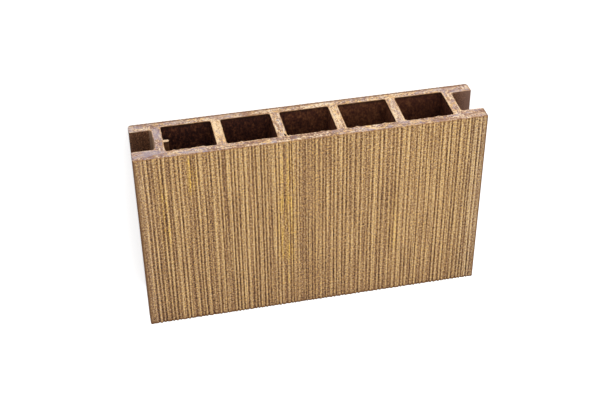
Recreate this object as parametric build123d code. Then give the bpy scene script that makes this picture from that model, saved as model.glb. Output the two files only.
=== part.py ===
"""A short sample of hollow composite deck board, one extruded piece.

The board lies flat: its width along X, its length along Y, its thickness along Z. The origin is on
the underside, below the middle of the board. The brushed walking face is on top.
"""

import os

from build123d import *

# The board's overall size, in millimetres
board_width = 140.0
board_thickness = 25.0
board_length = 83.0

# The two wide walls: the walking face's on top, the base's against the joists
top_wall = 4.1
base_wall = 3.8
# How much further in the base stops than the walking face, on each side
base_setback = 0.6

# The hollow core between the two side grooves
chamber_count = 5
web_thickness = 3.6

# The clip groove along each side, and the lips above and below it
groove_depth = 9.2
top_lip = 6.3
base_lip = 5.4

# The small marker rib along the outermost chamber, on its side wall
rib_reach = 2.2
rib_thickness = 1.2
rib_height = 13.8
rib_tip_radius = 0.4

# Roundings of the extruded corners
top_arris_radius = 0.7
base_arris_radius = 1.5
top_lip_radius = 0.7
base_lip_radius = 0.4
groove_root_radius = 1.2
chamber_radius = 0.9

core_width = board_width - 2 * groove_depth
chamber_width = (core_width - (chamber_count + 1) * web_thickness) / chamber_count
chamber_height = board_thickness - top_wall - base_wall
chamber_pitch = chamber_width + web_thickness


def outline():
    """The section's outer profile, with its lips and grooves, as a rounded polygon."""
    top_edge = board_width / 2
    base_edge = top_edge - base_setback
    groove_floor = core_width / 2
    groove_top = board_thickness - top_lip
    right_side = [
        (top_edge, board_thickness, top_arris_radius),
        (top_edge, groove_top, top_lip_radius),
        (groove_floor, groove_top, groove_root_radius),
        (groove_floor, base_lip, groove_root_radius),
        (base_edge, base_lip, base_lip_radius),
        (base_edge, 0, base_arris_radius),
    ]
    left_side = [(-x, z, radius) for x, z, radius in reversed(right_side)]
    corners = right_side + left_side
    points = [(x, z) for x, z, radius in corners]
    radii = [radius for x, z, radius in corners]
    return make_face(FilletPolyline(*points, radius=radii, close=True).edges())


def chambers():
    """The row of hollows that run through the core."""
    middle_height = base_wall + chamber_height / 2
    row = GridLocations(chamber_pitch, 1, chamber_count, 1)
    hollow = RectangleRounded(chamber_width, chamber_height, chamber_radius)
    return Pos(0, middle_height) * row * hollow


def marker_rib():
    """The rib's section, rooted in the middle of the side web and rounded at its tip."""
    root = core_width / 2 - web_thickness / 2
    length = web_thickness / 2 + rib_reach
    rib = RectangleRounded(length, rib_thickness, rib_tip_radius)
    return Pos(root - length / 2, rib_height) * rib


def deck_board():
    """The whole board: its section pushed out both ways along the length."""
    section = outline() - chambers() + marker_rib()
    return extrude(Plane.XZ * section, amount=board_length / 2, both=True)


os.makedirs("parts", exist_ok=True)
export_step(deck_board(), "parts/deck_board.step")
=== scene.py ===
"""The looks of a short sample of hollow composite deck board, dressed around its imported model.

The board is one extruded piece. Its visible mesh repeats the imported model's section, read from the
model's own end, and adds what a brush and a saw leave: ridges along both wide faces, worn and
ragged edges at the cuts, and pores in the sawn ends. Lengths are in metres and places in the
frame's own axes.
"""

import math

import bmesh
import bpy
import numpy as np
from mathutils import Matrix, Vector
from mathutils.geometry import delaunay_2d_cdt
from mathutils.kdtree import KDTree


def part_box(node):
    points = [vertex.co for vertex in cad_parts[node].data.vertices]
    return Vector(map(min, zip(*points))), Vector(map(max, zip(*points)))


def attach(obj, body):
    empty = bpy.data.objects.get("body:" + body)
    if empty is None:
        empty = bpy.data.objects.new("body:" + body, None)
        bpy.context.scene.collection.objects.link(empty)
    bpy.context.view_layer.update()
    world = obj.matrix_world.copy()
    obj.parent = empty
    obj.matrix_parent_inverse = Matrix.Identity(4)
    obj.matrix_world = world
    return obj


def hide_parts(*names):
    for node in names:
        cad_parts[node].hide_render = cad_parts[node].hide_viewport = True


MM = 0.001
NODE = "deck_board"
BODY = "root"
SEED = 4

# Mesh spacing, by what lies there
FACE_STEP = 0.17 * MM
BASE_STEP = 0.36 * MM
SKIN_STEP = 0.48 * MM
CHAMBER_STEP = 0.30 * MM
CAP_STEP = 0.70 * MM
CAP_SCATTER = 0.32 * CAP_STEP
LONG_STEP = 2.1 * MM
CHAMBER_LONG_STEP = 10.0 * MM
NEAR_CUT = np.array([0.0, 0.12, 0.35, 0.80]) * MM
WELD = 0.001 * MM
SHARP_ANGLE = math.radians(60)
# A Mix node's sockets for colours and for numbers: both inputs and the result
MIX_COLOURS = (6, 7, 2)
MIX_NUMBERS = (2, 3, 0)

# The brushed lines of the wide faces: their pitch and how uneven it is, depth and half width
RIDGES = (1.58 * MM, 0.32, 0.42 * MM, 0.42 * MM)
SCRATCHES = (1.15 * MM, 0.15, 0.28 * MM, 0.27 * MM)
BASE_RIDGES = (1.58 * MM, 0.16, 0.28 * MM, 0.42 * MM)
# How far each line wanders to the sides, in half widths
WANDER = 0.30
# How deep the lines may cut in all, and how much is left uncut along the crests
MAX_DEPTH = 0.44 * MM
CREST_DEPTH = 0.08 * MM
# The rounded arris beside the walking face, where the ridges run out
ARRIS = 0.7 * MM
FACE_ZONE = 0.6 * ARRIS

# Where the brush's lines run closer together or wider apart: the middle x, the reach, the change
PITCH_CHANGES = (
    (0.008, 0.009, -0.22),
    (-0.028, 0.010, 0.22),
    (-0.044, 0.005, -0.25),
    (0.064, 0.008, 0.15),
)

# Golden streaks on the walking face: the middle (x, y), the half width and half length, the strength
GOLDEN_STREAKS = (
    ((0.0485, -0.0310), (0.0025, 0.0110), 1.0),
    ((0.0600, -0.0120), (0.0022, 0.0230), 0.6),
    ((0.0115, -0.0040), (0.0045, 0.0400), 0.6),
    ((-0.0330, 0.0080), (0.0030, 0.0260), 0.2),
)

# The webs whose sawn ends came out palest and most golden: the middle x and the strength, and how
# far the paleness reaches to each side and up and down
PALE_WEBS = ((0.0354, 1.4), (-0.0118, 0.7), (-0.0354, 0.7))
PALE_REACH = (0.0040, 0.0120)

# The marker rib, painted paler than its chamber as light on it, and how near it the saw tore less
RIB_HEIGHT = 13.8 * MM
RIB_ZONE = 1.2 * MM
# By this far from its floor a side groove has its full height, past the roundings at its roots
GROOVE_ROOT = 1.5 * MM

# The cut ends: worn outer edges, ragged chamber edges and pores. Each blur is in outline points.
CUT_WEAR = 0.20 * MM
WEAR_REACH = 0.35 * MM
WEAR_BLUR = 2.5
BURR = 0.85 * MM
BURR_REACH = 0.40 * MM
BURR_WAVE_BLUR = 4.0
BURR_SPIKE_BLUR = 1.6
SAW_ROUGHNESS = 0.05 * MM
PORE_COUNT = 14
PORE_SIDES = 10
PORE_DEPTH = 0.9 * MM
PORE_CLEARANCE = 0.35 * MM

# A chip out of the +X groove's floor, and how far along the board it runs
CHIP_HEIGHT = 13.5 * MM
CHIP_REACH = 3.6 * MM
CHIP_DEPTH = 0.30 * MM
CHIP_LENGTH = 1.2 * MM

# The pore torn open at a corner of the middle chamber: its offset, half sizes and tilt
TORN_OFFSET = np.array([0.62, -0.78]) * MM
TORN_HALF_LENGTH = 0.90 * MM
TORN_HALF_WIDTH = 0.38 * MM
TORN_TILT = math.radians(103)

# The camera of the photograph, solved from the board's own edges
CAMERA_PLACE = Vector((82.3, -297.1, 391.6)) * MM
CAMERA_FORWARD = Vector((-0.1620, 0.6046, -0.7799))
CAMERA_UP = Vector((-0.1344, -0.7965, -0.5895))
CAMERA_LENS = 71.05
SENSOR_WIDTH = 36.0

# The studio: the floor, just below the board, with its paint and its own glow, and the light around
FLOOR_SIZE = 6.0
FLOOR_GAP = 0.02 * MM
FLOOR_WHITE = 0.9
FLOOR_LIFT = 0.55
WORLD_STRENGTH = 0.5

# The area lamps, aimed at the middle of the board: name, place, size, watts
SOFTBOXES = (
    ("key", (-0.04, -0.10, 0.76), 0.7, 2.1),
    ("front", (-0.08, -0.80, 0.34), 0.5, 1.9),
    ("side", (-0.70, -0.26, 0.14), 0.3, 1.8),
)


def end_outlines(mesh, y):
    """The closed outlines of the flat end at y, as (x, z) arrays: the board's, then each chamber's."""
    bm = bmesh.new()
    bm.from_mesh(mesh)
    bmesh.ops.remove_doubles(bm, verts=bm.verts, dist=WELD)
    flat = {face for face in bm.faces if all(abs(v.co.y - y) < WELD for v in face.verts)}
    border = [edge for edge in bm.edges if sum(face in flat for face in edge.link_faces) == 1]
    beside = {}
    for edge in border:
        a, b = edge.verts
        beside.setdefault(a, []).append(b)
        beside.setdefault(b, []).append(a)
    loops = []
    while beside:
        start = vert = next(iter(beside))
        loop = []
        came_from = None
        while vert in beside:
            loop.append((vert.co.x, vert.co.z))
            ahead = [v for v in beside.pop(vert) if v is not came_from]
            came_from, vert = vert, ahead[0]
        assert vert is start
        loops.append(np.array(loop))
    bm.free()
    widest = max(np.ptp(loop[:, 0]) for loop in loops)
    loops.sort(key=lambda loop: (np.ptp(loop[:, 0]) < widest, loop[:, 0].mean()))
    return [wound(loop, counter_clockwise=(n == 0)) for n, loop in enumerate(loops)]


def wound(loop, counter_clockwise):
    """The loop in the order that keeps the board's material on its left."""
    x, z = loop.T
    area = np.sum(x * np.roll(z, -1) - z * np.roll(x, -1))
    return loop if (area > 0) == counter_clockwise else loop[::-1].copy()


def divided(loop, step_at):
    """The loop with points added along its straight runs, so that no step is over step_at."""
    points = []
    for start, end in zip(loop, np.roll(loop, -1, axis=0)):
        middle = (start + end) / 2
        count = max(1, math.ceil(np.linalg.norm(end - start) / step_at(middle) - 1e-6))
        points += [start + (end - start) * n / count for n in range(count)]
    return np.array(points)


def into_air(loop):
    """Unit vectors across the loop, from the material towards the air."""
    along = np.roll(loop, -1, axis=0) - np.roll(loop, 1, axis=0)
    along /= np.linalg.norm(along, axis=1)[:, None]
    return np.stack([along[:, 1], -along[:, 0]], axis=1)


def ring_noise(rng, count, smooth):
    """Random values from 0 to 1 around a closed loop, blurred over this many points."""
    values = rng.random(count)
    reach = int(3 * smooth) + 1
    weights = np.exp(-0.5 * (np.arange(-reach, reach + 1) / smooth) ** 2)
    weights /= weights.sum()
    blurred = sum(w * np.roll(values, n - reach) for n, w in enumerate(weights))
    low, high = blurred.min(), blurred.max()
    return (blurred - low) / (high - low)


def cut_lines(rng, left, right, pitch, uneven, depth, width):
    """Random grooves side by side: place, depth, half width, and how each wanders along the board."""
    count = int((right - left) / pitch)
    x = np.linspace(left, right, count)
    changes = (change * np.exp(-((x - place) / reach) ** 2) for place, reach, change in PITCH_CHANGES)
    slow = 1 + sum(changes)
    steps = slow * rng.uniform(1 - uneven, 1 + uneven, count)
    return {
        "x": left + (right - left) * np.cumsum(steps) / steps.sum(),
        "depth": depth * rng.uniform(0.92, 1.10, count),
        "width": width * slow * rng.uniform(0.94, 1.06, count),
        "phase": rng.uniform(0, 2 * math.pi, (4, count)),
        "length": rng.uniform(50, 160, (4, count)) * MM,
    }


def relief(lines, x, y):
    """How deep the lines cut at each x, at this y."""
    waves = np.sin(2 * math.pi * y / lines["length"] + lines["phase"])
    middle = lines["x"] + WANDER * lines["width"] * (waves[0] + 0.5 * waves[1])
    depth = lines["depth"] * (0.90 + 0.08 * waves[2] + 0.06 * waves[3])
    away = np.abs(x[:, None] - middle) / lines["width"]
    return (depth * np.exp(-away ** 2)).sum(axis=1)


def stations(low, high, step):
    """Places along the board, closer together next to both cuts."""
    inner_low, inner_high = low + NEAR_CUT[-1], high - NEAR_CUT[-1]
    count = max(2, round((inner_high - inner_low) / step))
    middle = np.linspace(inner_low, inner_high, count + 1)
    return np.concatenate([low + NEAR_CUT[:-1], middle, (high - NEAR_CUT[:-1])[::-1]])


FACE, SAWN, SKIN, BORE = range(4)


class Shell:
    """Vertices and faces of the growing mesh, wound to face the air, and each face's material."""

    def __init__(self):
        self.points = []
        self.faces = []
        self.zones = []
        self.count = 0

    def add_points(self, points):
        """Adds (x, y, z) points and returns the first one's index."""
        first = self.count
        self.points.append(points)
        self.count += len(points)
        return first

    def add_faces(self, faces, zones):
        self.faces.append(faces)
        self.zones.append(np.broadcast_to(zones, len(faces)))

    def add_tube(self, rings, zones):
        """Joins rings of (x, y, z) points, from low y to high y. Returns each ring's first index."""
        starts = [self.add_points(ring) for ring in rings]
        here = np.arange(len(rings[0]))
        ahead = np.roll(here, -1)
        for a, b in zip(starts, starts[1:]):
            self.add_faces(np.stack([a + here, b + here, b + ahead, a + ahead], axis=1), zones)
        return starts


class Cut:
    """One sawn end: its place, which way is inward, and the outlines that reach it."""

    def __init__(self, y, inward):
        self.y = y
        self.inward = inward
        self.loops = []
        self.starts = []

    def fade(self, y, reach):
        """1 at the cut, falling to 0 at this reach from it."""
        return max(0.0, 1 - abs(y - self.y) / reach)

    def meet(self, ring, start):
        """Takes the outline of a ring that lies in the cut."""
        self.loops.append(ring[:, [0, 2]])
        self.starts.append(start)


def in_space(loop, y):
    """The loop's (x, z) points as (x, y, z) points at this y."""
    return np.stack([loop[:, 0], np.full(len(loop), y), loop[:, 1]], axis=1)


def add_outer(shell, rng, outline, low, high, cuts):
    """The board's outer surface: both brushed faces, the lips and the grooves between them."""

    def step_at(middle):
        if middle[1] > high.z - WELD:
            return FACE_STEP
        return BASE_STEP if middle[1] < low.z + WELD else SKIN_STEP

    outline = divided(outline, step_at)
    x, z = outline.T
    air = into_air(outline)
    on_top = z > high.z - FACE_ZONE
    on_base = z < low.z + WELD
    off_arris = np.clip((high.x - np.abs(x)) / ARRIS, 0, 1)
    ridges = cut_lines(rng, low.x, high.x, *RIDGES)
    scratches = cut_lines(rng, low.x, high.x, *SCRATCHES)
    base_ridges = cut_lines(rng, low.x, high.x, *BASE_RIDGES)
    worn = {cut: ring_noise(rng, len(outline), WEAR_BLUR) for cut in cuts}
    chip = CHIP_DEPTH * np.clip(1 - ((z - CHIP_HEIGHT) / CHIP_REACH) ** 2, 0, 1) * (x > 0)

    def ring(y):
        points = outline.copy()
        top = np.clip(relief(ridges, x, y) + relief(scratches, x, y) - CREST_DEPTH, 0, MAX_DEPTH)
        base = np.clip(relief(base_ridges, x, y) - CREST_DEPTH, 0, MAX_DEPTH)
        points[:, 1] += np.where(on_base, base, 0) - np.where(on_top, top * off_arris, 0)
        for cut in cuts:
            wear = CUT_WEAR * (0.45 + 0.55 * worn[cut]) * cut.fade(y, WEAR_REACH) ** 2
            points -= air * wear[:, None]
        points -= air * (chip * cuts[0].fade(y, CHIP_LENGTH))[:, None]
        return in_space(points, y)

    ahead = np.roll(outline, -1, axis=0)
    middle = (outline + ahead) / 2
    top = (middle[:, 1] > high.z - FACE_ZONE) & (np.abs(middle[:, 0]) < high.x - 0.5 * ARRIS)
    brushed = top | (middle[:, 1] < low.z + WELD)
    places = stations(low.y, high.y, LONG_STEP)
    rings = [ring(y) for y in places]
    starts = shell.add_tube(rings, np.where(brushed, FACE, SKIN))
    cuts[0].meet(rings[0], starts[0])
    cuts[1].meet(rings[-1], starts[-1])


def add_chamber(shell, rng, outline, low, high, cuts):
    """One chamber's wall, with small burrs where the saw tore it, most along the walking face."""
    outline = divided(outline, lambda middle: CHAMBER_STEP)
    air = into_air(outline)
    count = len(outline)
    under_face = np.clip((outline[:, 1] - outline[:, 1].max() + 0.8 * MM) / (0.5 * MM), 0, 1)
    on_rib = np.abs(outline[:, 1] - RIB_HEIGHT) < RIB_ZONE
    burrs = {}
    for cut in cuts:
        wave = ring_noise(rng, count, BURR_WAVE_BLUR)
        spikes = ring_noise(rng, count, BURR_SPIKE_BLUR)
        ragged = (0.20 + 0.80 * under_face) * (0.3 * wave ** 2 + 0.7 * spikes ** 3)
        ragged += 0.06 - 0.22 * under_face
        burrs[cut] = BURR * np.where(on_rib, 0.1, ragged)

    def ring(y):
        points = outline.copy()
        for cut in cuts:
            points += air * (burrs[cut] * cut.fade(y, BURR_REACH) ** 1.5)[:, None]
        return in_space(points, y)

    rings = [ring(y) for y in stations(low.y, high.y, CHAMBER_LONG_STEP)]
    starts = shell.add_tube(rings, BORE)
    cuts[0].meet(rings[0], starts[0])
    cuts[1].meet(rings[-1], starts[-1])


def near_any(points):
    """A search tree of (x, z) points, to ask how far the nearest one is."""
    tree = KDTree(len(points))
    for n, (x, z) in enumerate(points):
        tree.insert((x, z, 0), n)
    tree.balance()
    return lambda point: tree.find((point[0], point[1], 0))[2]


def inside(loop, points):
    """Which points lie inside the closed loop."""
    x, z = points.T
    result = np.zeros(len(points), bool)
    for (xa, za), (xb, zb) in zip(loop, np.roll(loop, -1, axis=0)):
        crosses = (za > z) != (zb > z)
        if za != zb:
            result ^= crosses & (x < (xb - xa) * (z - za) / (zb - za) + xa)
    return result


def in_material(loops, points):
    """Which points lie within the first loop and outside all the others."""
    result = inside(loops[0], points)
    for loop in loops[1:]:
        result &= ~inside(loop, points)
    return result


def add_pore(shell, cut, place, half_length, half_width, tilt):
    """A small closed pit in a sawn end, as an ellipse that narrows to a point."""
    turn = -2 * math.pi * np.arange(PORE_SIDES) / PORE_SIDES
    across = np.stack([half_length * np.cos(turn), half_width * np.sin(turn)], axis=1)
    cos, sin = math.cos(tilt), math.sin(tilt)
    across = across @ np.array([[cos, sin], [-sin, cos]])
    mouth = in_space(place + across, cut.y)
    throat = in_space(place + 0.75 * across, cut.y + 0.5 * cut.inward * PORE_DEPTH)
    here = np.arange(PORE_SIDES)
    ahead = np.roll(here, -1)
    if cut.inward > 0:
        starts = shell.add_tube([mouth, throat], BORE)
    else:
        starts = shell.add_tube([throat, mouth], BORE)[::-1]
    tip = shell.add_points(np.array([[place[0], cut.y + cut.inward * PORE_DEPTH, place[1]]]))
    fan = np.stack([starts[1] + ahead, starts[1] + here, np.full(PORE_SIDES, tip)], axis=1)
    shell.add_faces(fan if cut.inward > 0 else fan[:, ::-1], BORE)
    cut.meet(mouth, starts[0])


def add_pores(shell, rng, cut, low, high, torn_corner):
    """Scattered pores in the walls of a sawn end, and one at the torn corner where there is one."""
    if torn_corner is not None:
        add_pore(shell, cut, torn_corner, TORN_HALF_LENGTH, TORN_HALF_WIDTH, TORN_TILT)
    made = 0
    while made < PORE_COUNT:
        place = np.array([rng.uniform(low.x, high.x), rng.uniform(low.z, high.z)])
        half_length = rng.uniform(0.12, 0.34) * MM
        half_width = half_length * rng.uniform(0.45, 0.9)
        tilt = rng.uniform(0, math.pi)
        clear = near_any(np.concatenate(cut.loops))(place) > half_length + PORE_CLEARANCE
        if clear and in_material(cut.loops, place[None])[0]:
            add_pore(shell, cut, place, half_length, half_width, tilt)
            made += 1


def add_cap(shell, rng, cut):
    """The sawn surface: triangles between all outlines that reach the cut, a little uneven."""
    edge_points = np.concatenate(cut.loops)
    low, high = edge_points.min(0), edge_points.max(0)
    grid = np.stack(np.meshgrid(*(np.arange(a, b, CAP_STEP) for a, b in zip(low, high))), -1)
    grid = grid.reshape(-1, 2) + rng.uniform(-CAP_SCATTER, CAP_SCATTER, (grid.size // 2, 2))
    grid = grid[in_material(cut.loops, grid)]
    distance_to_edge = near_any(edge_points)
    grid = grid[[distance_to_edge(point) > 0.5 * CAP_STEP for point in grid]]
    borders = []
    first = 0
    for loop in cut.loops:
        borders += [(first + n, first + (n + 1) % len(loop)) for n in range(len(loop))]
        first += len(loop)
    everything = np.concatenate([edge_points, grid])
    result = delaunay_2d_cdt([Vector(point) for point in everything], borders, [], 0, 1e-9)
    assert len(result[0]) == len(everything)
    triangles = np.array(result[2])
    triangles = triangles[in_material(cut.loops, everything[triangles].mean(axis=1))]
    points = in_space(grid, cut.y)
    points[:, 1] += cut.inward * rng.random(len(grid)) * SAW_ROUGHNESS
    first = shell.add_points(points)
    edges = [start + np.arange(len(loop)) for start, loop in zip(cut.starts, cut.loops)]
    triangles = np.concatenate(edges + [first + np.arange(len(grid))])[triangles]
    shell.add_faces(triangles if cut.inward > 0 else triangles[:, ::-1], SAWN)


def build_board(outlines, low, high):
    """The board's visible mesh, closed, with its material zones."""
    rng = np.random.default_rng(SEED)
    shell = Shell()
    cuts = [Cut(low.y, 1), Cut(high.y, -1)]
    add_outer(shell, rng, outlines[0], low, high, cuts)
    for outline in outlines[1:]:
        add_chamber(shell, rng, outline, low, high, cuts)
    middle_chamber = outlines[1 + len(outlines[1:]) // 2]
    torn_corner = middle_chamber.max(axis=0) + TORN_OFFSET
    for cut, corner in zip(cuts, (torn_corner, None)):
        add_pores(shell, rng, cut, low, high, corner)
        add_cap(shell, rng, cut)
    return shell


def mesh_object(name, shell, materials):
    """A Blender object from the shell, smooth along its skin and crisp around the sawn ends."""
    points = np.concatenate(shell.points)
    faces = [face for block in shell.faces for face in block.tolist()]
    mesh = bpy.data.meshes.new(name)
    mesh.from_pydata(points.tolist(), [], faces)
    mesh.polygons.foreach_set("material_index", np.concatenate(shell.zones))
    mesh.polygons.foreach_set("use_smooth", np.ones(len(faces), bool))
    for material in materials:
        mesh.materials.append(material)
    mesh.validate()
    mesh.set_sharp_from_angle(angle=SHARP_ANGLE)
    bm = bmesh.new()
    bm.from_mesh(mesh)
    for edge in bm.edges:
        if len({face.material_index == SAWN for face in edge.link_faces}) > 1:
            edge.smooth = False
    bm.to_mesh(mesh)
    bm.free()
    thing = bpy.data.objects.new(name, mesh)
    bpy.context.scene.collection.objects.link(thing)
    return thing


class Section:
    """Where the chambers and the side grooves lie in the section, for the materials around them."""

    def __init__(self, outlines):
        chambers = np.concatenate(outlines[1:])
        self.low, self.high = chambers.min(axis=0), chambers.max(axis=0)
        self.width = np.ptp(outlines[1][:, 0])
        self.pitch = (self.high[0] - self.low[0] - self.width) / (len(outlines) - 2)
        from_middle = np.abs(outlines[0][:, 0])
        self.groove_floor = from_middle.min()
        groove_z = outlines[0][from_middle < self.groove_floor + GROOVE_ROOT, 1]
        self.groove_low, self.groove_high = groove_z.min(), groove_z.max()

    def edge_distance(self, s, x, z):
        """How far a point of the section is from the nearest hollow's edge, negative inside it."""
        from_middle = s.math("ABSOLUTE", x)
        from_row_middle = s.math("SUBTRACT", x, (self.low[0] + self.high[0]) / 2)
        beside = s.math("PINGPONG", from_row_middle, self.pitch / 2)
        beside = s.math("MAXIMUM", s.math("SUBTRACT", beside, self.width / 2),
                        s.math("SUBTRACT", from_middle, self.high[0]))
        chamber = s.math("MAXIMUM", beside, self.height_beyond(s, z, self.low[1], self.high[1]))
        groove = s.math("MAXIMUM", s.math("SUBTRACT", self.groove_floor, from_middle),
                        self.height_beyond(s, z, self.groove_low, self.groove_high))
        return s.math("MINIMUM", chamber, groove)

    @staticmethod
    def height_beyond(s, z, low, high):
        """How far z lies outside the range, negative within it."""
        from_middle = s.math("ABSOLUTE", s.math("SUBTRACT", z, (low + high) / 2))
        return s.math("SUBTRACT", from_middle, (high - low) / 2)


class Shader:
    """A material and short ways to add nodes to it. Coordinates are the object's own."""

    def __init__(self, name):
        self.material = bpy.data.materials.new(name)
        self.material.use_nodes = True
        self.nodes = self.material.node_tree.nodes
        self.links = self.material.node_tree.links
        self.surface = self.nodes["Principled BSDF"]
        self.place = self.nodes.new("ShaderNodeTexCoord").outputs["Object"]

    def put(self, value, socket):
        """Links another node's output to the socket, or sets a plain value."""
        if isinstance(value, bpy.types.NodeSocket):
            self.links.new(value, socket)
        else:
            socket.default_value = value

    def scaled(self, x, y, z):
        """The coordinates times so many cycles for each millimetre."""
        node = self.nodes.new("ShaderNodeMapping")
        self.put(self.place, node.inputs["Vector"])
        node.inputs["Scale"].default_value = (x / MM, y / MM, z / MM)
        return node.outputs["Vector"]

    def noise(self, cycles, detail=2.0, roughness=0.5, distortion=0.0):
        """Noise around 0, mostly between -0.25 and 0.25."""
        node = self.nodes.new("ShaderNodeTexNoise")
        self.put(self.scaled(*cycles), node.inputs["Vector"])
        node.inputs["Scale"].default_value = 1.0
        node.inputs["Detail"].default_value = detail
        node.inputs["Roughness"].default_value = roughness
        node.inputs["Distortion"].default_value = distortion
        return self.math("SUBTRACT", node.outputs["Fac"], 0.5)

    def math(self, operation, a, b=0.0):
        node = self.nodes.new("ShaderNodeMath")
        node.operation = operation
        self.put(a, node.inputs[0])
        self.put(b, node.inputs[1])
        return node.outputs["Value"]

    def spread(self, value, low, high, to_low=0.0, to_high=1.0):
        """The value carried from one range to another, and held at the ends."""
        node = self.nodes.new("ShaderNodeMapRange")
        self.put(value, node.inputs["Value"])
        limits = {"From Min": low, "From Max": high, "To Min": to_low, "To Max": to_high}
        for name, number in limits.items():
            node.inputs[name].default_value = number
        return node.outputs["Result"]

    def total(self, start, *terms):
        """The start value and the sum of (value, weight) pairs."""
        result = start
        for value, weight in terms:
            result = self.math("ADD", self.product(value, weight), result)
        return result

    def product(self, first, *others):
        result = first
        for other in others:
            result = self.math("MULTIPLY", result, other)
        return result

    def ramp(self, value, stops):
        """A colour for each value, through (position, linear colour) stops."""
        node = self.nodes.new("ShaderNodeValToRGB")
        self.put(value, node.inputs["Fac"])
        elements = node.color_ramp.elements
        while len(elements) < len(stops):
            elements.new(0.5)
        for element, (position, colour) in zip(elements, stops):
            element.position = position
            element.color = (*colour, 1.0)
        return node.outputs["Color"]

    def mix(self, factor, a, b):
        """Colour a, or b where the factor is 1."""
        node = self.nodes.new("ShaderNodeMix")
        node.data_type = "RGBA"
        self.put(factor, node.inputs["Factor"])
        *inputs, result = MIX_COLOURS
        for colour, socket in zip((a, b), inputs):
            self.put((*colour, 1.0) if isinstance(colour, tuple) else colour, node.inputs[socket])
        return node.outputs[result]

    def layered(self, colour, *layers):
        """The colour under layers of others, each a (cover, colour) pair."""
        for cover, layer in layers:
            colour = self.mix(cover, colour, layer)
        return colour

    def stained(self, factor, colour, stain):
        """The colour, multiplied by the stain where the factor is 1."""
        mixed = self.mix(factor, colour, stain)
        mixed.node.blend_type = "MULTIPLY"
        return mixed

    def within(self, values, middles, reaches):
        """1 at the middle of an ellipse, falling to 0 at its edge."""
        squares = 0.0
        for value, middle, reach in zip(values, middles, reaches):
            away = self.math("DIVIDE", self.math("SUBTRACT", value, middle), reach)
            squares = self.math("ADD", self.math("MULTIPLY", away, away), squares)
        return self.spread(squares, 1.0, 0.0)

    def axes(self):
        node = self.nodes.new("ShaderNodeSeparateXYZ")
        self.put(self.place, node.inputs["Vector"])
        return node.outputs

    def bump(self, height, distance):
        node = self.nodes.new("ShaderNodeBump")
        self.put(height, node.inputs["Height"])
        node.inputs["Distance"].default_value = distance
        self.put(node.outputs["Normal"], self.surface.inputs["Normal"])

    def finish(self, colour, roughness, specular):
        self.put(colour, self.surface.inputs["Base Color"])
        self.surface.inputs["Roughness"].default_value = roughness
        self.surface.inputs["Specular IOR Level"].default_value = specular
        return self.material


def browned_and_shaded_edges(s, colour, low, high):
    """The brushed colour, a little greyer towards the sides and brown along every edge, with painted
    shade beside the +X arris and over the brown line along the far cut.
    """
    x, y, _ = s.axes()
    near_side = s.spread(s.math("ABSOLUTE", x), high.x - 8.0 * MM, high.x - 2.0 * MM)
    colour = s.stained(s.spread(x, low.x + 16.0 * MM, low.x), colour, (0.955, 0.985, 1.030))
    colour = s.stained(near_side, colour, (0.980, 1.000, 1.130))
    shaded = s.spread(x, high.x - 1.9 * MM, high.x - 0.9 * MM)
    colour = s.stained(shaded, colour, (0.720, 0.680, 0.640))
    return s.layered(
        colour,
        (s.spread(x, high.x - 1.1 * MM, high.x - 0.7 * MM, 0.0, 0.70), (0.170, 0.078, 0.028)),
        (s.spread(x, low.x + 1.2 * MM, low.x + 0.6 * MM, 0.0, 0.90), (0.150, 0.052, 0.009)),
        (s.spread(y, low.y + 0.6 * MM, low.y + 0.2 * MM, 0.0, 0.55), (0.400, 0.200, 0.070)),
        # Browner along the far cut, deepened with painted shade where its rounded edge turns away from
        # the light.
        (s.spread(y, high.y - 1.5 * MM, high.y - 0.5 * MM, 0.0, 0.85), (0.125, 0.045, 0.006)),
    )


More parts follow.
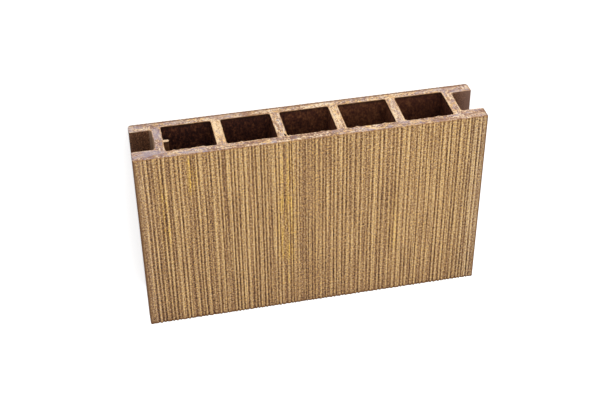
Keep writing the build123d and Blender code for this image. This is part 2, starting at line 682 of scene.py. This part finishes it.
def brushed_material(low, high):
    """Golden tan ridges over dark brown grooves, peppered with wood fibre, browner at the cuts, with
    painted shade in the grooves and towards the far cut.
    """
    s = Shader("brushed_composite")
    x, y, z = s.axes()
    from_top = s.spread(z, high.z, high.z - MAX_DEPTH)
    from_base = s.spread(z, low.z, low.z + MAX_DEPTH)
    depth = s.math("MINIMUM", from_top, from_base)
    bands = s.noise((0.10, 0.006, 0.0))
    streaks = s.noise((2.2, 0.05, 0.0), detail=1.0)
    specks = s.noise((1.6, 1.3, 0.0), roughness=0.6)
    grains = s.noise((3.0, 2.4, 0.0))
    beads = s.product(depth, s.spread(s.noise((1.1, 0.8, 0.0)), 0.00, 0.10))
    in_grooves = s.spread(depth, 0.0, 1.0, 0.90, 1.15)
    grit = s.product(s.total(0.0, (specks, 2.4), (grains, 1.2)), in_grooves)
    worn = s.within((x,), (-0.014,), (0.045,))
    # The tone darkens with groove depth, partly the grooves' own browner colour and partly painted
    # shade in them, and falls towards the far cut as painted shade.
    tone = s.total(0.856, (depth, -0.57), (s.product(depth, worn), 0.11), (worn, -0.057),
                   (beads, -0.28), (bands, 0.10), (streaks, 0.75), (grit, 0.84), (x, -0.0004 / MM),
                   (y, -0.0006 / MM), (s.spread(y, 12.0 * MM, high.y), -0.08),
                   (s.spread(y, high.y - 6.0 * MM, high.y), -0.06))
    colour = s.ramp(tone, [
        (0.00, (0.064, 0.029, 0.016)),
        (0.18, (0.182, 0.087, 0.040)),
        (0.36, (0.300, 0.159, 0.070)),
        (0.54, (0.420, 0.245, 0.110)),
        (0.74, (0.590, 0.370, 0.165)),
        (1.00, (0.900, 0.620, 0.285)),
    ])
    tint = s.noise((1.9, 1.3, 0.0))
    colour = s.stained(s.spread(tint, 0.02, 0.17), colour, (1.10, 1.00, 0.64))
    colour = s.stained(s.spread(tint, -0.02, -0.17), colour, (0.93, 0.98, 1.28))
    broken = s.spread(s.noise((0.9, 0.12, 0.0), detail=3.0), -0.10, 0.08)
    on_crests = s.spread(from_top, 0.85, 0.25)
    for place, reach, strength in GOLDEN_STREAKS:
        golden = s.product(s.within((x, y), place, reach), broken, on_crests, strength)
        colour = s.stained(golden, colour, (1.42, 1.38, 0.42))
    colour = browned_and_shaded_edges(s, colour, low, high)
    s.bump(s.total(0.0, (specks, 0.7), (grains, 0.4)), 0.08 * MM)
    return s.finish(colour, 0.72, 0.25)


def sawn_material(low, high, section):
    """Pale sawn composite: violet-grey mottles and golden flecks that follow the walls, with painted
    shade along the hollows' edges.
    """
    s = Shader("sawn_composite")
    x, _, z = s.axes()
    from_middle = s.math("ABSOLUTE", x)
    core_low, core_high = section.low[1], section.high[1]
    past_base = s.spread(z, core_low - 0.8 * MM, core_low + 1.6 * MM)
    past_top = s.spread(z, core_high + 0.8 * MM, core_high - 1.6 * MM)
    in_core = s.spread(from_middle, section.groove_floor + 1.0 * MM, section.groove_floor - 0.5 * MM)
    in_web = s.product(past_base, past_top, in_core)

    def along_walls(slow, fast, **how):
        """Noise drawn out along the wall that it lies in: across the board, or upright in a web."""
        node = s.nodes.new("ShaderNodeMix")
        s.put(in_web, node.inputs["Factor"])
        *inputs, result = MIX_NUMBERS
        for cycles, socket in zip(((slow, fast, fast), (fast, fast, slow)), inputs):
            s.put(s.noise(cycles, **how), node.inputs[socket])
        return node.outputs[result]

    edge = section.edge_distance(s, x, z)
    rim = s.product(
        s.spread(edge, 0.65 * MM, 0.30 * MM),
        s.spread(z, core_high - 0.2 * MM, core_high + 0.3 * MM, 1.0, 0.35),
        s.spread(z, core_low + 0.2 * MM, core_low - 0.3 * MM, 1.0, 0.40),
        s.spread(s.noise((0.5, 0.5, 0.5)), -0.12, 0.05, 0.4, 1.0),
    )
    middle_height = (core_low + core_high) / 2
    pale = s.total(0.0, *((s.within((x, z), (place, middle_height), PALE_REACH), strength)
                          for place, strength in PALE_WEBS))
    facing = s.spread(z, core_high - 0.5 * MM, core_high + 0.5 * MM)

    patches = along_walls(0.10, 0.35)
    streaks = along_walls(0.16, 1.0, detail=3.0, roughness=0.65, distortion=0.9)
    mottles = along_walls(0.45, 0.85, detail=3.0, roughness=0.8, distortion=0.4)
    grains = s.noise((1.3, 1.3, 1.3))
    speckle = s.product(
        s.total(0.0, (patches, 2.0), (streaks, 4.0), (mottles, 4.3), (grains, 4.6)),
        s.spread(past_base, 0.0, 1.0, 1.3, 1.0),
        s.spread(x, low.x + 8.0 * MM, low.x + 22.0 * MM, 0.65, 1.0),
    )
    tone = s.total(0.53, (speckle, 1.0), (rim, 0.38), (pale, 0.30), (facing, -0.09),
                   (past_base, -0.04), (z, -0.007 / MM))
    sawn = s.ramp(tone, [
        (0.00, (0.270, 0.150, 0.105)),
        (0.22, (0.450, 0.268, 0.188)),
        (0.46, (0.630, 0.400, 0.260)),
        (0.70, (0.810, 0.552, 0.352)),
        (1.00, (1.000, 0.830, 0.590)),
    ])

    violet_ground = s.total(-0.06, (along_walls(0.45, 1.0, detail=3.0, roughness=0.7), 1.0),
                            (along_walls(0.06, 0.20), 0.9), (x, 0.0008 / MM),
                            (from_middle, 0.0016 / MM))
    violet = s.product(
        s.spread(violet_ground, 0.0, 0.14, 0.0, 0.75),
        s.spread(rim, 0.0, 1.0, 1.0, 0.35),
        s.spread(pale, 0.0, 1.0, 1.0, 0.10),
        s.spread(past_base, 0.0, 1.0, 0.75, 1.0),
    )
    flecks = along_walls(0.40, 1.0, detail=3.0, roughness=0.7, distortion=0.8)
    gold = s.product(
        s.spread(flecks, 0.01, 0.10, 0.0, 0.85),
        s.spread(along_walls(0.05, 0.15), -0.06, 0.08, 0.40, 1.0),
        s.spread(x, high.x - 24.0 * MM, high.x - 6.0 * MM, 1.0, 0.40),
        s.spread(x, low.x + 6.0 * MM, low.x + 20.0 * MM, 0.45, 1.0),
        s.spread(past_base, 0.0, 1.0, 1.3, 1.0),
    )
    blue = s.product(
        s.spread(s.noise((1.0, 1.0, 1.0), detail=3.0, roughness=0.7), 0.05, 0.13, 0.0, 0.65),
        s.spread(rim, 0.0, 1.0, 1.0, 0.2),
    )
    fibres = along_walls(0.14, 0.9, detail=3.0, roughness=0.6, distortion=0.6)
    # A thin dark brown line along every hollow's edge, strongest along the base wall: painted shade
    # where the sawn face drops into the hollow.
    painted_rim_shade = s.product(
        s.spread(edge, 0.32 * MM, 0.08 * MM, 0.0, 0.75),
        s.spread(z, core_low + 0.4 * MM, core_low - 0.1 * MM, 0.55, 1.0),
    )
    on_rib = s.spread(edge, 0.0, -0.3 * MM, 0.0, 0.7)
    top_edge = s.spread(z, high.z - 0.50 * MM, high.z - 0.20 * MM, 0.0, 0.7)
    base_edge = s.spread(z, low.z + 1.20 * MM, low.z + 0.75 * MM, 0.0, 0.9)
    side_edge = s.spread(x, low.x + 1.3 * MM, low.x + 0.5 * MM, 0.0, 0.6)
    outside = s.math("MAXIMUM", s.math("MAXIMUM", top_edge, base_edge), side_edge)
    colour = s.layered(
        sawn,
        (violet, (0.425, 0.350, 0.410)),
        (gold, (1.000, 0.650, 0.270)),
        (s.product(pale, 0.30), (1.000, 0.640, 0.270)),
        (blue, (0.300, 0.225, 0.300)),
        (s.spread(fibres, -0.05, -0.16, 0.0, 0.7), (0.390, 0.200, 0.120)),
        (s.product(rim, 0.25), (0.880, 0.520, 0.240)),
        (painted_rim_shade, (0.420, 0.190, 0.070)),
        (on_rib, (0.930, 0.680, 0.450)),
        (outside, (0.220, 0.102, 0.042)),
    )
    s.bump(s.total(0.0, (mottles, 0.6), (grains, 0.5)), 0.12 * MM)
    return s.finish(colour, 0.8, 0.2)


def skin_material(low, high, section):
    """The unbrushed extruded skin of the grooves and lips: reddish brown with faint die lines, painted
    lighter towards -X and on the groove floors as light and sheen.
    """
    s = Shader("extruded_skin")
    x, y, z = s.axes()
    lines = s.noise((1.7, 0.04, 1.7), detail=3.0)
    specks = s.noise((2.2, 1.6, 2.2), detail=3.0, roughness=0.6)
    # Lighter towards -X: painted light from that side.
    tone = s.total(0.54, (lines, 0.6), (specks, 2.8), (x, -0.0014 / MM))
    skin = s.ramp(tone, [
        (0.00, (0.030, 0.011, 0.006)),
        (0.35, (0.072, 0.028, 0.012)),
        (0.65, (0.140, 0.058, 0.025)),
        (1.00, (0.255, 0.120, 0.064)),
    ])
    groove_floor = section.groove_floor
    on_floor = s.spread(s.math("ABSOLUTE", x), groove_floor + 1.1 * MM, groove_floor + 0.6 * MM)
    arris = s.spread(z, high.z - 1.6 * MM, high.z - 0.9 * MM)
    arris_colour = s.mix(s.spread(x, low.x, high.x), (0.130, 0.040, 0.006), (0.160, 0.064, 0.020))
    colour = s.layered(
        skin,
        # Paler reddish grey over the -X groove: painted light and sheen falling into it from that
        # side.
        (s.spread(x, section.low[0] - 4.5 * MM, low.x + 1.5 * MM, 0.0, 0.7), (0.240, 0.140, 0.105)),
        # Paler along both groove floors, most near the low-y cut: painted sheen off the floor seen at
        # a grazing angle.
        (s.product(on_floor, s.spread(y, low.y + 9.0 * MM, low.y, 0.40, 0.90)), (0.335, 0.205, 0.125)),
        (arris, arris_colour),
    )
    s.bump(s.total(0.0, (lines, 0.7), (specks, 0.5)), 0.08 * MM)
    return s.finish(colour, 0.55, 0.2)


def bore_material(low, section):
    """The chambers' walls: darker and redder than the outer skin, the darkness partly painted shade
    inside the hollows, blotched along the board.
    """
    s = Shader("chamber_skin")
    x, y, z = s.axes()
    blotches = s.noise((0.60, 0.30, 0.60), detail=3.0, roughness=0.6)
    specks = s.noise((1.3, 0.8, 1.3), detail=3.0, roughness=0.7)
    speckle = s.total(0.0, (blotches, 1.8), (specks, 2.8))
    contrast = s.spread(x, -0.055, 0.055, 0.6, 1.1)
    # Lighter over the chambers towards -X: painted light reaching further into them.
    middle = s.within((x,), (-0.022,), (0.042,))
    tone = s.total(0.33, (speckle, contrast), (middle, 0.36))
    # A darker copy of the skin's colours: partly painted shade for the enclosed chambers.
    skin = s.ramp(tone, [
        (0.00, (0.030, 0.010, 0.008)),
        (0.35, (0.065, 0.020, 0.013)),
        (0.65, (0.112, 0.036, 0.018)),
        (1.00, (0.215, 0.084, 0.036)),
    ])
    off_rib = s.math("ABSOLUTE", s.math("SUBTRACT", z, RIB_HEIGHT))
    # Paler over the marker rib: painted light falling on it near the opening.
    rib = s.product(
        s.spread(off_rib, 0.9 * MM, 0.8 * MM, 0.0, 0.55),
        s.spread(x, section.high[0] - 2.7 * MM, section.high[0] - 2.4 * MM),
    )
    # Darker just inside the cut: painted shade under the hollows' edges.
    mouth = s.spread(y, low.y + 2.0 * MM, low.y + 0.5 * MM, 0.0, 0.7)
    torn = s.product(
        s.spread(y, low.y + 0.35 * MM, low.y + 0.10 * MM, 0.0, 0.6),
        s.spread(section.edge_distance(s, x, z), 0.35 * MM, 0.25 * MM),
    )
    colour = s.layered(
        skin,
        (rib, (0.240, 0.105, 0.045)),
        (mouth, (0.018, 0.006, 0.004)),
        (torn, (0.520, 0.280, 0.120)),
    )
    s.bump(specks, 0.06 * MM)
    return s.finish(colour, 0.7, 0.12)


def seen_rays(nodes, links, *kinds):
    """1 for rays of any of these kinds, else 0."""
    path = nodes.new("ShaderNodeLightPath")
    result = path.outputs[kinds[0]]
    for kind in kinds[1:]:
        either = nodes.new("ShaderNodeMath")
        either.operation = "MAXIMUM"
        links.new(result, either.inputs[0])
        links.new(path.outputs[kind], either.inputs[1])
        result = either.outputs[0]
    return result


def make_floor():
    """A plain white floor that keeps the board's shadow."""
    bpy.ops.mesh.primitive_plane_add(size=FLOOR_SIZE, location=(0, 0, -FLOOR_GAP))
    floor = bpy.context.object
    floor.name = "floor"
    material = bpy.data.materials.new("white_floor")
    material.use_nodes = True
    nodes, links = material.node_tree.nodes, material.node_tree.links
    surface = nodes["Principled BSDF"]
    surface.inputs["Base Color"].default_value = (FLOOR_WHITE, FLOOR_WHITE, FLOOR_WHITE, 1.0)
    surface.inputs["Roughness"].default_value = 0.9
    surface.inputs["Specular IOR Level"].default_value = 0.0
    surface.inputs["Emission Color"].default_value = (1.0, 1.0, 1.0, 1.0)
    lift = nodes.new("ShaderNodeMath")
    lift.operation = "MULTIPLY"
    lift.inputs[1].default_value = FLOOR_LIFT
    links.new(seen_rays(nodes, links, "Is Camera Ray", "Is Glossy Ray"), lift.inputs[0])
    links.new(lift.outputs[0], surface.inputs["Emission Strength"])
    floor.data.materials.append(material)


def make_world(strength):
    """Even white surroundings, seen as plain white and lighting the board at this strength."""
    world = bpy.data.worlds.new("studio")
    bpy.context.scene.world = world
    world.use_nodes = True
    nodes, links = world.node_tree.nodes, world.node_tree.links
    background = nodes["Background"]
    background.inputs["Color"].default_value = (1.0, 1.0, 1.0, 1.0)
    level = nodes.new("ShaderNodeMapRange")
    level.inputs["To Min"].default_value = strength
    level.inputs["To Max"].default_value = 1.0
    seen = seen_rays(nodes, links, "Is Camera Ray", "Is Glossy Ray", "Is Transmission Ray")
    links.new(seen, level.inputs["Value"])
    links.new(level.outputs["Result"], background.inputs["Strength"])


def make_softbox(name, place, size, watts):
    """A square area lamp aimed at the middle of the board."""
    lamp = bpy.data.lights.new(name, "AREA")
    lamp.size = size
    lamp.energy = watts
    thing = bpy.data.objects.new(name, lamp)
    thing.location = place
    thing.rotation_euler = (-Vector(place)).to_track_quat("-Z", "Y").to_euler()
    bpy.context.scene.collection.objects.link(thing)


def make_camera():
    """The photograph's camera: above the walking face, with the photographed cut end at the top."""
    camera = bpy.data.cameras.new("camera")
    camera.lens = CAMERA_LENS
    camera.sensor_fit = "HORIZONTAL"
    camera.sensor_width = SENSOR_WIDTH
    camera.clip_start = 0.01
    thing = bpy.data.objects.new("camera", camera)
    back = -CAMERA_FORWARD.normalized()
    right = CAMERA_UP.cross(back).normalized()
    up = back.cross(right)
    turn = Matrix((right, up, back)).transposed().to_4x4()
    thing.matrix_world = Matrix.Translation(CAMERA_PLACE) @ turn
    bpy.context.scene.collection.objects.link(thing)
    bpy.context.scene.camera = thing


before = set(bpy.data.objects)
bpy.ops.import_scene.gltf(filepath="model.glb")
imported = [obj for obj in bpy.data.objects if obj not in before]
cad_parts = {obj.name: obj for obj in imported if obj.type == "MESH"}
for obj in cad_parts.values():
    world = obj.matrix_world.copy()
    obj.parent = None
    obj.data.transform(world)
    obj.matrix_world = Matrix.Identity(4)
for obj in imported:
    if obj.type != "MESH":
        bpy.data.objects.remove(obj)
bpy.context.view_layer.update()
board_low, board_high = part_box(NODE)

outlines = end_outlines(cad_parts[NODE].data, board_low.y)
section = Section(outlines)
board = mesh_object("board", build_board(outlines, board_low, board_high), [
    brushed_material(board_low, board_high),
    sawn_material(board_low, board_high, section),
    skin_material(board_low, board_high, section),
    bore_material(board_low, section),
])
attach(board, BODY)
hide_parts(NODE)

make_floor()
make_world(WORLD_STRENGTH)
for softbox in SOFTBOXES:
    make_softbox(*softbox)
make_camera()
bpy.context.scene.view_settings.view_transform = "Standard"
